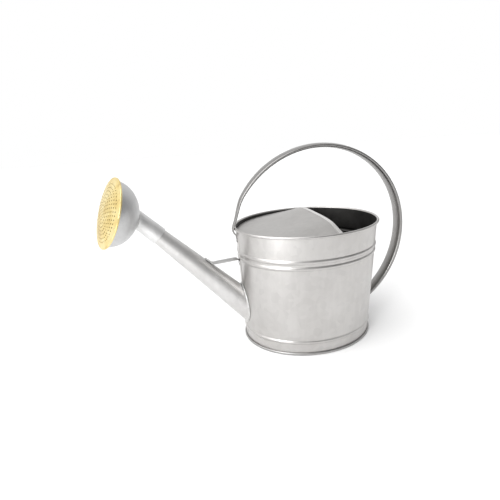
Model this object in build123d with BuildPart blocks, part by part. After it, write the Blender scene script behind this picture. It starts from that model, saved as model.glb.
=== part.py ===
from build123d import *
import math
import os

os.makedirs("parts", exist_ok=True)

# ---------------------------------------------------------------- sizes, mm
HEIGHT = 225.0          # base to centre of the rolled rim
OVAL = 0.818            # width of every body oval / its length
WALL_A_TOP = 134.8      # outer half length of the wall at the rim
WALL_A_BASE = 126.0     # outer half length of the wall at the base
SHEET = 0.8             # galvanised sheet
ROLL_A = 136.5          # half length to the centre of the rim roll
ROLL_R = 2.5            # outer radius of the rim roll
WIRE_R = 1.6            # wire inside the rim roll
BEADS = ((181.0, 4.0, 1.8), (169.5, 4.0, 1.8), (25.5, 3.5, 1.5))   # height, half width, swell
CHIME_A = 129.3         # outer half length of the foot ring
CHIME_H = 4.7
PAN_Z = 8.0             # top of the base sheet

SPOUT_ANGLE = 46.7      # spout axis above the horizontal, degrees
SPOUT_X, SPOUT_Z = -131.2, 79.2
SPOUT_R0 = 24.9         # outer radius at the body
SPOUT_TAPER = 10.6 / 204.5
SPOUT_END = 240.0       # along the axis, inside the rose socket

SOCKET_S0 = 204.5       # open end of the rose socket along the spout axis
SOCKET_R0 = 16.3
SOCKET_TAPER = 1.4 / 41.4
SOCKET_T = 1.2
ROSE_S = 252.2          # back of the rose bowl along the spout axis
ROSE_TILT = 30.8        # face normal away from the spout axis, degrees
ROSE_TURN = 41.1        # rose turned about the spout axis, degrees
BOWL_DEPTH = 47.5
BOWL_R = 55.3
FLANGE_R = 58.3
FACE_R = 59.4
FACE_DOME = 10.0
HOLE_R = 0.85
HOLE_PITCH = 6.0
HOLE_RINGS = 8

HANDLE_X, HANDLE_Z, HANDLE_R = 25.6, 188.2, 173.4
HOOD_X = 22.7           # rear edge of the hood
HOOD_TOP = 13.0         # crown of the rear edge above the rim plane
HOOD_DROP = 8.0         # front tip of the hood below the rim plane

# ---------------------------------------------------------------- helpers
sa, ca = math.sin(math.radians(SPOUT_ANGLE)), math.cos(math.radians(SPOUT_ANGLE))
S0 = Vector(SPOUT_X, 0, SPOUT_Z)
SD = Vector(-ca, 0, sa)                 # along the spout, outwards
SU = Vector(sa, 0, ca)                  # square to it, upwards
SPOUT_PROFILE = Plane(origin=S0, x_dir=SU, z_dir=(0, -1, 0))
SPOUT_AXIS = Axis(S0, SD)

bt, tn = math.radians(ROSE_TILT), math.radians(ROSE_TURN)
side = SU * (-math.cos(tn)) + Vector(0, -1, 0) * math.sin(tn)
RN = SD * math.cos(bt) + side * math.sin(bt)       # rose face normal
RBACK = S0 + SD * ROSE_S
RC = RBACK + RN * BOWL_DEPTH                        # centre of the face plane
RX = (side * math.cos(bt) - SD * math.sin(bt)).normalized()
ROSE_PLANE = Plane(origin=RC, x_dir=RX, z_dir=RN)
ROSE_PROFILE = Plane(origin=RC, x_dir=RX, z_dir=-(RN.cross(RX)))
ROSE_AXIS = Axis(RC, RN)


def wall_a(z):
    return WALL_A_BASE + (WALL_A_TOP - WALL_A_BASE) * z / HEIGHT


def spout_r(s):
    return SPOUT_R0 - SPOUT_TAPER * s


def socket_r(s):
    return SOCKET_R0 - SOCKET_TAPER * (s - SOCKET_S0)


def wall_path(inset, z0, z1):
    """Edges of the wall's side from z0 up to z1, with its beads, moved in by inset."""
    pts, z = [], z0
    edges = []
    for c, hw, h in sorted(BEADS):
        if c + hw < z0:
            continue
        a = (wall_a(z) - inset, z)
        b = (wall_a(c - hw) - inset, c - hw)
        m = (wall_a(c) - inset + h, c)
        e = (wall_a(c + hw) - inset, c + hw)
        edges.append(Line(a, b))
        edges.append(ThreePointArc(b, m, e))
        z = c + hw
    edges.append(Line((wall_a(z) - inset, z), (wall_a(z1) - inset, z1)))
    return edges


def arc(c, r, a0, a1):
    f = lambda t: (c[0] + r * math.cos(math.radians(t)), c[1] + r * math.sin(math.radians(t)))
    return ThreePointArc(f(a0), f((a0 + a1) / 2), f(a1))


# ---------------------------------------------------------------- solids used only for cutting
# everything inside the outer face of the wall
with BuildPart() as envelope:
    with BuildSketch(Plane.XZ):
        with BuildLine():
            wall_path(0.0, -2.0, HEIGHT + 30)
            Polyline((wall_a(HEIGHT + 30), HEIGHT + 30), (0, HEIGHT + 30), (0, -2), (wall_a(-2), -2))
        make_face()
    revolve(axis=Axis.Z)
    scale(by=(1, OVAL, 1))

# the same, 2.4 mm larger, for the solder around the spout root
with BuildPart() as envelope_fat:
    with BuildSketch(Plane.XZ):
        with BuildLine():
            Polyline((wall_a(20) + 2.4, 20), (wall_a(160) + 2.4, 160), (0, 160), (0, 20), close=True)
        make_face()
    revolve(axis=Axis.Z)
    scale(by=(1, OVAL, 1))

# the same, 1.3 mm larger, for tabs that lie on the wall
with BuildPart() as envelope_tab:
    with BuildSketch(Plane.XZ):
        with BuildLine():
            wall_path(-1.3, 20.0, 221.5)
            Polyline((wall_a(221.5) + 1.3, 221.5), (0, 221.5), (0, 20), (wall_a(20) + 1.3, 20))
        make_face()
    revolve(axis=Axis.Z)
    scale(by=(1, OVAL, 1))

# space inside the wall near the rim
with BuildPart() as bore_space:
    with BuildSketch(Plane.XZ):
        Polygon((0, 205), (wall_a(205) - SHEET - 0.05, 205), (wall_a(245) - SHEET - 0.05, 245), (0, 245), align=None)
    revolve(axis=Axis.Z)
    scale(by=(1, OVAL, 1))

with BuildPart() as bore_space_in:
    with BuildSketch(Plane.XZ):
        Polygon((0, 200), (wall_a(200) - 2 * SHEET - 0.05, 200), (wall_a(245) - 2 * SHEET - 0.05, 245), (0, 245), align=None)
    revolve(axis=Axis.Z)
    scale(by=(1, OVAL, 1))

# the spout's cone, solid
with BuildPart() as spout_cone:
    with BuildSketch(SPOUT_PROFILE):
        Polygon((0, -60), (spout_r(-60), -60), (spout_r(SPOUT_END + 20), SPOUT_END + 20), (0, SPOUT_END + 20), align=None)
    revolve(axis=SPOUT_AXIS)

# the rose bowl, solid
with BuildPart() as bowl_solid:
    with BuildSketch(ROSE_PROFILE):
        with BuildLine():
            EllipticalCenterArc((0, -1), BOWL_R, BOWL_DEPTH - 1, start_angle=270, arc_size=90)
            Polyline((BOWL_R, -1), (0, -1), (0, -BOWL_DEPTH))
        make_face()
    revolve(axis=ROSE_AXIS)

with BuildPart() as bowl_fat:
    with BuildSketch(ROSE_PROFILE):
        with BuildLine():
            EllipticalCenterArc((0, -1), BOWL_R + 2, BOWL_DEPTH + 1, start_angle=270, arc_size=90)
            Polyline((BOWL_R + 2, -1), (0, -1), (0, -BOWL_DEPTH - 2))
        make_face()
    revolve(axis=ROSE_AXIS)


def rivet_profile(plane, head_r, head_h, shank_r, depth, tail_r, tail_h):
    """Half section of a rivet: head above the plane's y = 0, tail below -depth."""
    ball = (head_r ** 2 + head_h ** 2) / (2 * head_h)
    with BuildSketch(plane) as sk:
        with BuildLine():
            ThreePointArc((head_r, 0), (head_r / 2, head_h - ball + math.sqrt(ball ** 2 - head_r ** 2 / 4)), (0, head_h))
            Polyline((0, head_h), (0, -depth - tail_h), (tail_r, -depth - tail_h), (tail_r, -depth),
                     (shank_r, -depth), (shank_r, 0), (head_r, 0))
        make_face()
    return sk.sketch


RIVET_SHANK = 1.5
# rivet places: brace on spout, brace on body, handle foot (two), front tab
SP_RIVET_S = 107.5
SP_RIVET = S0 + SD * SP_RIVET_S + SU * (spout_r(SP_RIVET_S) + 1.3 + 0.18)
BODY_RIVET_Z = 160.0
TAB_RIVET_Z = 205.3
FOOT_Z = 50.0
FOOT_RIVETS = ((16.5, FOOT_Z), (-16.5, FOOT_Z))


def wall_x(y, z):
    """Outer face of the plain wall at (y, z), as |x|."""
    a = wall_a(z)
    return a * math.sqrt(1 - (y / (a * OVAL)) ** 2)


def wall_normal(y, z, sign):
    a = wall_a(z)
    x = wall_x(y, z)
    v = Vector(sign * x / a ** 2, y / (a * OVAL) ** 2, 0).normalized()
    return v


foot_points = []
for fy, fz in FOOT_RIVETS:
    n = wall_normal(fy, fz, 1)
    foot_points.append((Vector(wall_x(fy, fz), fy, fz), n))

# ---------------------------------------------------------------- body
# wall sheet with its three beads, rolled over the rim wire
with BuildPart() as body_shell:
    with BuildSketch(Plane.XZ):
        with BuildLine():
            wall_path(0.0, 1.2, HEIGHT)
            arc((ROLL_A, HEIGHT), ROLL_R - SHEET, 180, -120)
            e = math.radians(-120)
            Line((ROLL_A + (ROLL_R - SHEET) * math.cos(e), HEIGHT + (ROLL_R - SHEET) * math.sin(e)),
                 (ROLL_A + ROLL_R * math.cos(e), HEIGHT + ROLL_R * math.sin(e)))
            arc((ROLL_A, HEIGHT), ROLL_R, -120, 180)
            wall_path(SHEET, 1.2, HEIGHT)
            Line((wall_a(1.2) - SHEET, 1.2), (wall_a(1.2), 1.2))
        make_face()
    revolve(axis=Axis.Z)
    scale(by=(1, OVAL, 1))
    # opening into the spout
    with BuildSketch(Plane(origin=S0 - SD * 30, x_dir=SU, z_dir=SD)):
        Circle(SPOUT_R0 - SHEET - 0.2)
    extrude(amount=60, mode=Mode.SUBTRACT)
    # rivet holes
    with BuildSketch(Plane(origin=(-150, 0, BODY_RIVET_Z), x_dir=(0, 1, 0), z_dir=(1, 0, 0))):
        Circle(RIVET_SHANK)
    extrude(amount=40, mode=Mode.SUBTRACT)
    with BuildSketch(Plane(origin=(-150, 0, TAB_RIVET_Z), x_dir=(0, 1, 0), z_dir=(1, 0, 0))):
        Circle(RIVET_SHANK)
    extrude(amount=40, mode=Mode.SUBTRACT)
    for p, n in foot_points:
        with BuildSketch(Plane(origin=p - n * 8, z_dir=n)):
            Circle(RIVET_SHANK)
        extrude(amount=16, mode=Mode.SUBTRACT)
body_shell.part.label = "body_shell"

# wire rolled into the rim
with BuildPart() as rim_wire:
    with BuildSketch(Plane.XZ):
        with Locations((ROLL_A, HEIGHT)):
            Circle(WIRE_R)
    revolve(axis=Axis.Z)
    scale(by=(1, OVAL, 1))
rim_wire.part.label = "rim_wire"

# base sheet, seamed around the wall's lower edge
with BuildPart() as base_pan:
    with BuildSketch(Plane.XZ):
        with BuildLine():
            Polyline((0, PAN_Z - SHEET), (121.5, PAN_Z - SHEET), (124.3, 4.4), (124.3, 0.6), (124.9, 0), (124.9, -0.4), (127.4, -0.4), (127.4, 0))
            ThreePointArc((127.4, 0), (CHIME_A, CHIME_H / 2), (127.4, CHIME_H))
            Polyline((127.4, CHIME_H), (126.3, CHIME_H), (126.3, 1.0), (125.2, 1.0), (125.2, 5.0), (122.0, PAN_Z), (0, PAN_Z),
                     (0, PAN_Z - SHEET))
        make_face()
    revolve(axis=Axis.Z)
    scale(by=(1, OVAL, 1))
    # the foot ring stands on a flat face in the plane z = 0
    with Locations((0, 0, -5)):
        Box(400, 400, 10, mode=Mode.SUBTRACT)
base_pan.part.label = "base_pan"

# ---------------------------------------------------------------- hood over the front half
HOOD_Y = (0, 40, 69, 92, 108, 116)
HOOD_H = (HOOD_TOP, 12.6, 10.4, 4.7, 1.0, -0.6)


def hood_section(x, drop, low):
    """Closed section across the can at x: crowned top, straight sides and bottom."""
    k = max(0.0, (x + 136.0) / (HOOD_X + 136.0))
    base = HEIGHT - HOOD_DROP * (1 - k * k) - drop
    pts = [(-y, base + h * k) for y, h in reversed(list(zip(HOOD_Y, HOOD_H)))]
    pts += [(y, base + h * k) for y, h in list(zip(HOOD_Y, HOOD_H))[1:]]
    with BuildSketch(Plane(origin=(x, 0, 0), x_dir=(0, 1, 0), z_dir=(1, 0, 0))) as sk:
        with BuildLine():
            Spline(*pts)
            Polyline(pts[-1], (pts[-1][0], low), (pts[0][0], low), pts[0])
        make_face()
    return sk.sketch


with BuildPart() as hood_block:
    add(hood_section(HOOD_X, 0.0, 217.0))
    add(hood_section(-58.0, 0.0, 212.5))
    add(hood_section(-142.0, 0.0, 209.0))
    loft()
    add(bore_space.part, mode=Mode.INTERSECT)

with BuildPart() as hood_hollow:
    add(hood_section(HOOD_X + 2.0, SHEET, 203.0))
    add(hood_section(-58.0, SHEET, 203.0))
    add(hood_section(-143.0, SHEET, 203.0))
    loft()
    add(bore_space_in.part, mode=Mode.INTERSECT)

with BuildPart() as hood_raised:
    add(hood_section(HOOD_X, -1.0, 221.0))
    add(hood_section(-58.0, -1.0, 214.0))
    add(hood_section(-142.0, -1.0, 212.0))
    loft()
    add(bore_space.part, mode=Mode.INTERSECT)
    with Locations((HOOD_X - 3.0, 0, 230)):
        Box(6.0, 260, 60, mode=Mode.INTERSECT)

with BuildPart() as hood:
    add(hood_block.part)
    add(hood_raised.part)
    add(hood_hollow.part, mode=Mode.SUBTRACT)
hood.part.label = "hood"

# ---------------------------------------------------------------- spout
with BuildPart() as spout_tube:
    with BuildSketch(SPOUT_PROFILE):
        Polygon((spout_r(-60) - SHEET, -60), (spout_r(-60), -60), (spout_r(SPOUT_END), SPOUT_END),
                (spout_r(SPOUT_END) - SHEET, SPOUT_END), align=None)
    revolve(axis=SPOUT_AXIS)
    add(envelope.part, mode=Mode.SUBTRACT)
    with BuildSketch(Plane(origin=S0 + SD * SP_RIVET_S + SU * 4, x_dir=(0, 1, 0), z_dir=SU)):
        Circle(RIVET_SHANK)
    extrude(amount=30, mode=Mode.SUBTRACT)
spout_tube.part.label = "spout_tube"

# solder fillet where the spout meets the wall
with BuildPart() as spout_solder:
    with BuildSketch(SPOUT_PROFILE):
        Polygon((0, -40), (SPOUT_R0 + 3.6, -40), (SPOUT_R0 + 0.8, 38), (0, 38), align=None)
    revolve(axis=SPOUT_AXIS)
    add(envelope_fat.part, mode=Mode.INTERSECT)
    add(envelope.part, mode=Mode.SUBTRACT)
    add(spout_cone.part, mode=Mode.SUBTRACT)
spout_solder.part.label = "spout_solder"

# ---------------------------------------------------------------- brace between body and spout
BRACE_W = 17.0
BRACE_Z = 163.6
BRACE_RISE = 3.6        # degrees, towards the body
BRACE_T = 1.3

# block under the spout tab's outer face
with BuildPart() as tab_cone:
    with BuildSketch(SPOUT_PROFILE):
        Polygon((0, 90), (spout_r(90) + BRACE_T, 90), (spout_r(122) + BRACE_T, 122), (0, 122), align=None)
    revolve(axis=SPOUT_AXIS)

with BuildPart() as tab_on_spout:
    with BuildSketch(Plane(origin=S0 + SD * 106, x_dir=(0, 1, 0), z_dir=SU)):
        SlotOverall(19, 12, rotation=90)
    extrude(amount=40)
    add(tab_cone.part, mode=Mode.INTERSECT)

with BuildPart() as tab_on_body:
    with BuildSketch(Plane(origin=(-150, 0, 163.0), x_dir=(0, 1, 0), z_dir=(1, 0, 0))):
        SlotOverall(20, 12, rotation=90)
    extrude(amount=25)
    add(envelope_tab.part, mode=Mode.INTERSECT)

with BuildPart() as brace:
    # creased bar
    with BuildSketch(Plane(origin=(-196, 0, BRACE_Z), x_dir=(0, 1, 0),
                           z_dir=(math.cos(math.radians(BRACE_RISE)), 0, math.sin(math.radians(BRACE_RISE))))):
        Polygon((-BRACE_W / 2, 0), (0, 3.0), (BRACE_W / 2, 0), (BRACE_W / 2, BRACE_T), (0, 3.0 + BRACE_T), (-BRACE_W / 2, BRACE_T), align=None)
    extrude(amount=68)
    add(tab_on_spout.part)
    add(tab_on_body.part)
    with BuildSketch(Plane(origin=S0 + SD * SP_RIVET_S, x_dir=(0, 1, 0), z_dir=SU)):
        Circle(RIVET_SHANK)
    extrude(amount=40, mode=Mode.SUBTRACT)
    with BuildSketch(Plane(origin=(-160, 0, BODY_RIVET_Z), x_dir=(0, 1, 0), z_dir=(1, 0, 0))):
        Circle(RIVET_SHANK)
    extrude(amount=50, mode=Mode.SUBTRACT)
    add(spout_cone.part, mode=Mode.SUBTRACT)
    add(envelope.part, mode=Mode.SUBTRACT)
brace.part.label = "brace_strip"

# rivet through brace and spout
with BuildPart() as brace_spout_rivet:
    add(rivet_profile(Plane(origin=SP_RIVET, x_dir=SD, z_dir=SD.cross(SU)), 3.2, 1.7, RIVET_SHANK, 2.75, 2.4, 0.9))
    revolve(axis=Axis(SP_RIVET, SU))
brace_spout_rivet.part.label = "brace_spout_rivet"

# rivet through brace and wall
BX = wall_a(BODY_RIVET_Z) + 1.3 + 0.14
with BuildPart() as brace_body_rivet:
    add(rivet_profile(Plane(origin=(-BX, 0, BODY_RIVET_Z), x_dir=(0, 0, 1), z_dir=(0, -1, 0)), 3.2, 1.7, RIVET_SHANK, 2.5, 2.4, 0.9))
    revolve(axis=Axis((-BX, 0, BODY_RIVET_Z), (-1, 0, 0)))
brace_body_rivet.part.label = "brace_body_rivet"

# ---------------------------------------------------------------- handle
# (angle about the arc's centre, width across, thickness in the arc's plane)
HANDLE_SECTIONS = ((167.2, 9.0, 3.4), (162, 11.0, 4.8), (150, 16.0, 6.4), (138, 21.5, 7.4), (124, 25.0, 8.2),
                   (108, 26.0, 8.4), (90, 26.0, 8.4), (70, 26.0, 8.6), (50, 26.0, 9.2), (30, 26.0, 10.0),
                   (10, 26.0, 10.8), (-10, 26.0, 11.2), (-30, 25.5, 11.0), (-46, 24.5, 10.0), (-60, 24.0, 9.0))


def handle_r(t):
    """The arc's radius, drawn in a little towards the front end."""
    f = max(0.0, min(1.0, (t - 147) / 14))
    return HANDLE_R - 3.9 * f * f * (3 - 2 * f) + 1.3 * max(0.0, (t - 162) / 5.2)


def handle_plane(t):
    r = math.radians(t)
    return Plane(origin=(HANDLE_X + handle_r(t) * math.cos(r), 0, HANDLE_Z + handle_r(t) * math.sin(r)),
                 x_dir=(0, 1, 0), z_dir=(math.sin(r), 0, -math.cos(r)))


def handle_size(t):
    """Width and thickness at angle t, straight between the listed sections."""
    for (t1, w1, k1), (t2, w2, k2) in zip(HANDLE_SECTIONS, HANDLE_SECTIONS[1:]):
        if t2 <= t <= t1:
            f = (t1 - t) / (t1 - t2)
            return w1 + (w2 - w1) * f, k1 + (k2 - k1) * f


HANDLE_STEPS = [167.2 - i * (167.2 + 60.0) / 46 for i in range(46)] + [-60.0]

with BuildPart() as handle_core:
    for t in HANDLE_STEPS:
        w, k = handle_size(t)
        with BuildSketch(handle_plane(t)):
            Ellipse(w / 2 - 1.0, k / 2 - 1.0)
    loft(ruled=True)

with BuildPart() as handle_outer:
    for t in HANDLE_STEPS:
        w, k = handle_size(t)
        with BuildSketch(handle_plane(t)):
            Ellipse(w / 2, k / 2)
    loft(ruled=True)

with BuildPart() as envelope_rim:
    add(envelope.part)
    with Locations((0, 0, HEIGHT + 33)):
        Box(400, 400, 60, mode=Mode.SUBTRACT)

with BuildPart() as handle_tube:
    add(handle_outer.part)
    add(handle_core.part, mode=Mode.SUBTRACT)
    add(envelope_rim.part, mode=Mode.SUBTRACT)
    add(handle_tube.part.solids().sort_by(SortBy.VOLUME)[-1], mode=Mode.REPLACE)
handle_tube.part.label = "handle_tube"

# front end of the handle: flattened tab bent in under the rim
with BuildPart() as handle_tab_bar:
    with BuildSketch(Plane.XZ):
        with BuildLine():
            l1 = Spline((-142.5, 226.2), (-142.7, 221.5), (-139.8, 216.0), (-133.4, 212.6))
            l2 = Spline((-139.4, 225.4), (-139.5, 222.2), (-137.4, 218.8), (-132.4, 215.8))
            Line(l1 @ 0, l2 @ 0)
            Line(l1 @ 1, l2 @ 1)
        make_face()
    extrude(amount=4.5, both=True)
    add(handle_outer.part, mode=Mode.SUBTRACT)
    add(envelope.part, mode=Mode.SUBTRACT)

with BuildPart() as handle_tab_pad:
    add(envelope_tab.part)
    add(envelope.part, mode=Mode.SUBTRACT)
    with BuildSketch(Plane(origin=(-170, 0, 206.5), x_dir=(0, 1, 0), z_dir=(1, 0, 0))):
        SlotOverall(15, 11, rotation=90)
    extrude(amount=60, mode=Mode.INTERSECT)

with BuildPart() as handle_front_tab:
    add(handle_tab_bar.part)
    add(handle_tab_pad.part)
handle_front_tab.part.label = "handle_front_tab"

# foot plate under the rear end of the handle
with BuildPart() as handle_foot:
    add(envelope_tab.part)
    add(envelope.part, mode=Mode.SUBTRACT)
    with BuildSketch(Plane(origin=(90, 0, FOOT_Z), x_dir=(0, 1, 0), z_dir=(1, 0, 0))):
        Ellipse(24, 17)
    extrude(amount=80, mode=Mode.INTERSECT)
    add(handle_outer.part, mode=Mode.SUBTRACT)
    for p, n in foot_points:
        with BuildSketch(Plane(origin=p - n * 8, z_dir=n)):
            Circle(RIVET_SHANK)
        extrude(amount=20, mode=Mode.SUBTRACT)
handle_foot.part.label = "handle_foot"

foot_rivets = []
for i, (p, n) in enumerate(foot_points):
    o = p + n * 1.45
    with BuildPart() as fr:
        add(rivet_profile(Plane(origin=o, x_dir=Vector(0, 0, 1), z_dir=Vector(0, 0, 1).cross(n)), 3.2, 1.7, RIVET_SHANK, 2.6, 2.4, 0.9))
        revolve(axis=Axis(o, n))
    fr.part.label = "handle_foot_rivet_%d" % (i + 1)
    foot_rivets.append(fr.part)

# ---------------------------------------------------------------- rose
with BuildPart() as rose_bowl:
    with BuildSketch(ROSE_PROFILE):
        with BuildLine():
            EllipticalCenterArc((0, -1), BOWL_R, BOWL_DEPTH - 1, start_angle=270, arc_size=90)
            Polyline((BOWL_R, -1.0), (FLANGE_R, -1.0), (FLANGE_R, -0.2), (BOWL_R - SHEET, -0.2), (BOWL_R - SHEET, -1.0))
            EllipticalCenterArc((0, -1), BOWL_R - SHEET, BOWL_DEPTH - 1 - SHEET, start_angle=270, arc_size=90)
            Line((0, -BOWL_DEPTH + SHEET), (0, -BOWL_DEPTH))
        make_face()
    revolve(axis=ROSE_AXIS)
    with BuildSketch(Plane(origin=S0 + SD * (ROSE_S - 25), x_dir=SU, z_dir=SD)):
        Circle(11.5)
    extrude(amount=45, mode=Mode.SUBTRACT)
rose_bowl.part.label = "rose_bowl"

with BuildPart() as rose_socket:
    with BuildSketch(SPOUT_PROFILE):
        Polygon((socket_r(SOCKET_S0) - SOCKET_T, SOCKET_S0), (socket_r(SOCKET_S0), SOCKET_S0),
                (socket_r(272), 272), (socket_r(272) - SOCKET_T, 272), align=None)
    revolve(axis=SPOUT_AXIS)
    add(bowl_solid.part, mode=Mode.SUBTRACT)
rose_socket.part.label = "rose_socket"

with BuildPart() as rose_solder:
    with BuildSketch(SPOUT_PROFILE):
        Polygon((socket_r(232), 232), (socket_r(232) + 2.6, 232), (socket_r(272) + 2.6, 272), (socket_r(272), 272), align=None)
    revolve(axis=SPOUT_AXIS)
    add(bowl_fat.part, mode=Mode.INTERSECT)
    add(bowl_solid.part, mode=Mode.SUBTRACT)
rose_solder.part.label = "rose_solder"

# domed brass face with its edge turned over the bowl's flange
dome_r = 56.5
dome_rad = (dome_r ** 2 + (FACE_DOME - SHEET) ** 2) / (2 * (FACE_DOME - SHEET))
dome_c = FACE_DOME - dome_rad
dome_in = math.sqrt((dome_rad - SHEET) ** 2 - dome_c ** 2)
face_points = [(0.0, 0.0)]
for k in range(1, HOLE_RINGS + 1):
    n = 6 * k
    for j in range(n):
        a = 2 * math.pi * j / n + (0.5 * k)
        face_points.append((HOLE_PITCH * k * math.cos(a), HOLE_PITCH * k * math.sin(a)))

with BuildPart() as rose_face:
    with BuildSketch(ROSE_PROFILE):
        with BuildLine():
            ThreePointArc((0, FACE_DOME), (30, dome_c + math.sqrt(dome_rad ** 2 - 900)), (dome_r, SHEET))
            Polyline((dome_r, SHEET), (FACE_R - 0.6, SHEET), (FACE_R, 0.2), (FACE_R, -1.4), (FACE_R - 0.6, -2.0), (57.2, -2.0),
                     (57.2, -1.2), (58.5, -1.2), (58.5, 0.0), (dome_in, 0.0))
            ThreePointArc((dome_in, 0.0), (30, dome_c + math.sqrt((dome_rad - SHEET) ** 2 - 900)), (0, FACE_DOME - SHEET))
            Line((0, FACE_DOME - SHEET), (0, FACE_DOME))
        make_face()
    revolve(axis=ROSE_AXIS)
    with BuildSketch(ROSE_PLANE):
        with Locations(*face_points):
            Circle(HOLE_R)
    extrude(amount=20, mode=Mode.SUBTRACT)
rose_face.part.label = "rose_face"

# rubber sleeve that holds the rose on the spout's tip
with BuildPart() as socket_seal:
    with BuildSketch(SPOUT_PROFILE):
        Polygon((spout_r(213) + 0.06, 213), (socket_r(213) - SOCKET_T - 0.06, 213),
                (socket_r(238) - SOCKET_T - 0.06, 238), (spout_r(238) + 0.06, 238), align=None)
    revolve(axis=SPOUT_AXIS)
socket_seal.part.label = "socket_seal"

# rivet through the handle's front tab
TX = wall_a(TAB_RIVET_Z)
with BuildPart() as tab_rivet:
    with BuildSketch(Plane(origin=(-TX + 3.4, 0, TAB_RIVET_Z), x_dir=(0, 1, 0), z_dir=(-1, 0, 0))):
        Circle(RIVET_SHANK)
    extrude(amount=5.0)
    add(envelope.part, mode=Mode.INTERSECT)
    with BuildSketch(Plane(origin=(-TX + 1.2, 0, TAB_RIVET_Z), x_dir=(0, 1, 0), z_dir=(1, 0, 0))):
        Circle(3.0)
    extrude(amount=1.3, taper=25)
tab_rivet.part.label = "handle_tab_rivet"

# ---------------------------------------------------------------- files
for name, p in (("body_shell", body_shell.part), ("rim_wire", rim_wire.part), ("base_pan", base_pan.part),
                ("hood", hood.part), ("spout_tube", spout_tube.part), ("spout_solder", spout_solder.part),
                ("brace_strip", brace.part), ("brace_spout_rivet", brace_spout_rivet.part),
                ("brace_body_rivet", brace_body_rivet.part), ("handle_tube", handle_tube.part),
                ("handle_front_tab", handle_front_tab.part), ("handle_tab_rivet", tab_rivet.part),
                ("handle_foot", handle_foot.part), ("handle_foot_rivet_1", foot_rivets[0]),
                ("handle_foot_rivet_2", foot_rivets[1]), ("rose_socket", rose_socket.part),
                ("rose_solder", rose_solder.part), ("rose_bowl", rose_bowl.part), ("rose_face", rose_face.part),
                ("socket_seal", socket_seal.part)):
    export_step(p, "parts/%s.step" % name)
    bb = p.bounding_box()
    print(name, len(p.solids()), round(p.volume, 1), [round(v, 1) for v in (bb.min.X, bb.min.Y, bb.min.Z, bb.max.X, bb.max.Y, bb.max.Z)])
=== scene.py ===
import bpy
import math
import random
from mathutils import Matrix, Vector, geometry


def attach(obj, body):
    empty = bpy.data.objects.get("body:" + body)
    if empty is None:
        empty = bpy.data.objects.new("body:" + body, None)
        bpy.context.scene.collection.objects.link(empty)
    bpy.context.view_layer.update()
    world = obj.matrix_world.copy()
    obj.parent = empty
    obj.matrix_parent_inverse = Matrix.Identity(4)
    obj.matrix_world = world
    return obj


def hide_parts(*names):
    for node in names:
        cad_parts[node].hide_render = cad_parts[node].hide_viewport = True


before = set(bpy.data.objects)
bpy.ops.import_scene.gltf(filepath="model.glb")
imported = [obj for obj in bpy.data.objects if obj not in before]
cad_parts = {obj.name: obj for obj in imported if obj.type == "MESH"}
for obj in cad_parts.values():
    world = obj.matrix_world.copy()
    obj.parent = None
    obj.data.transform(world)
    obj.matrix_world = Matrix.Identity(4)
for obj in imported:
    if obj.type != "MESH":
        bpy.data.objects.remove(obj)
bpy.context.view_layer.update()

MM = 0.001
random.seed(7)

# ------------------------------------------------------------ sizes, mm (as in the CAD)
HEIGHT, OVAL = 225.0, 0.818
WALL_A_TOP, WALL_A_BASE, SHEET = 134.8, 126.0, 0.8
ROLL_A, ROLL_R = 136.5, 2.5
BEADS = ((181.0, 4.0, 1.8), (169.5, 4.0, 1.8), (25.5, 3.5, 1.5))
CHIME_A, CHIME_H, PAN_Z = 129.3, 4.7, 8.0
SPOUT_ANGLE, SPOUT_X, SPOUT_Z = 46.7, -131.2, 79.2
SPOUT_R0, SPOUT_TAPER, SPOUT_END = 24.9, 10.6 / 204.5, 240.0
SOCKET_S0, SOCKET_R0, SOCKET_TAPER, SOCKET_T = 204.5, 16.3, 1.4 / 41.4, 1.2
ROSE_S, ROSE_TILT, ROSE_TURN = 252.2, 30.8, 41.1
BOWL_DEPTH, BOWL_R, FLANGE_R, FACE_R, FACE_DOME = 47.5, 55.3, 58.3, 59.4, 10.0
HANDLE_X, HANDLE_Z, HANDLE_R = 25.6, 188.2, 173.4
HOOD_X, HOOD_TOP = 22.7, 13.0

sa, ca = math.sin(math.radians(SPOUT_ANGLE)), math.cos(math.radians(SPOUT_ANGLE))
S0 = Vector((SPOUT_X, 0, SPOUT_Z))
SD = Vector((-ca, 0, sa))
SU = Vector((sa, 0, ca))
SY = Vector((0, 1, 0))
bt, tn = math.radians(ROSE_TILT), math.radians(ROSE_TURN)
SIDE = SU * (-math.cos(tn)) + Vector((0, -1, 0)) * math.sin(tn)
RN = SD * math.cos(bt) + SIDE * math.sin(bt)
RC = S0 + SD * ROSE_S + RN * BOWL_DEPTH
RX = (SIDE * math.cos(bt) - SD * math.sin(bt)).normalized()
RY = RN.cross(RX)


def wall_a(z):
    return WALL_A_BASE + (WALL_A_TOP - WALL_A_BASE) * z / HEIGHT


def bead(z):
    """Outward swell of the wall sheet at height z: round crown, tight root."""
    for c, hw, h in BEADS:
        if abs(z - c) < hw:
            t = (z - c) / hw
            return h * (1 - t * t) ** 1.15
    return 0.0


def spout_r(s):
    return SPOUT_R0 - SPOUT_TAPER * s


def socket_r(s):
    return SOCKET_R0 - SOCKET_TAPER * (s - SOCKET_S0)


def smooth(t):
    t = max(0.0, min(1.0, t))
    return t * t * (3 - 2 * t)


# ------------------------------------------------------------ materials
def nodes_of(mat):
    mat.use_nodes = True
    nt = mat.node_tree
    nt.nodes.clear()
    out = nt.nodes.new("ShaderNodeOutputMaterial")
    sh = nt.nodes.new("ShaderNodeBsdfPrincipled")
    nt.links.new(sh.outputs["BSDF"], out.inputs["Surface"])
    tc = nt.nodes.new("ShaderNodeTexCoord")
    return nt, sh, tc


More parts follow.
